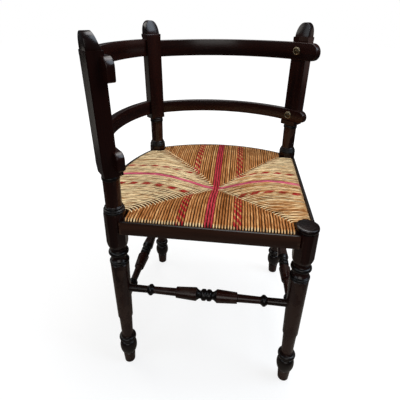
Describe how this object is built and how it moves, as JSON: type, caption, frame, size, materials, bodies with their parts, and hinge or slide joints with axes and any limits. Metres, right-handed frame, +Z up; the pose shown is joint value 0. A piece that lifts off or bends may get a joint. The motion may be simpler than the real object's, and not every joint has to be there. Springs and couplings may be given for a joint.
{
  "type": "corner fireside chair",
  "caption": "Corner fireside chair: dark turned-wood frame, square rush seat set cornerwise, bowed back rails with screw cups, ringed stretchers.",
  "frame": {"origin": "on the floor under the middle of the seat", "axes": "+Z up; the sitter faces -Y over the front leg; +X is towards the right post as seen from the front"},
  "size_m": [0.5956, 0.5888, 0.7785],
  "materials": {
    "frame_wood": "dark stain, satin lacquer",
    "rail_wood": "dark stain, satin lacquer",
    "stretcher_wood": "dark stain, satin lacquer",
    "facing_wood": "dark stain, satin lacquer",
    "hidden_wood": "bare, hidden in the rush",
    "rush": "twisted rush, dull sheen",
    "cup_brass": "aged",
    "screw_brass": "aged"
  },
  "bodies": {
    "root": {"left_post": "frame_wood", "right_post": "frame_wood", "back_post": "frame_wood", "front_leg": "frame_wood", "upper_rail_left": "rail_wood", "upper_rail_right": "rail_wood", "lower_rail_left": "rail_wood", "lower_rail_right": "rail_wood", "upper_cup_left": "cup_brass", "upper_cup_right": "cup_brass", "lower_cup_left": "cup_brass", "lower_cup_right": "cup_brass", "upper_screw_left": "screw_brass", "upper_screw_right": "screw_brass", "lower_screw_left": "screw_brass", "lower_screw_right": "screw_brass", "rush_seat": "rush", "facing_front_left": "facing_wood", "facing_front_right": "facing_wood", "facing_back_left": "facing_wood", "facing_back_right": "facing_wood", "seat_rail_front_left": "hidden_wood", "seat_rail_front_right": "hidden_wood", "seat_rail_back_left": "hidden_wood", "seat_rail_back_right": "hidden_wood", "stretcher_front_left": "stretcher_wood", "stretcher_front_right": "stretcher_wood", "stretcher_back_left": "stretcher_wood", "stretcher_back_right": "stretcher_wood"}
  },
  "joints": []
}
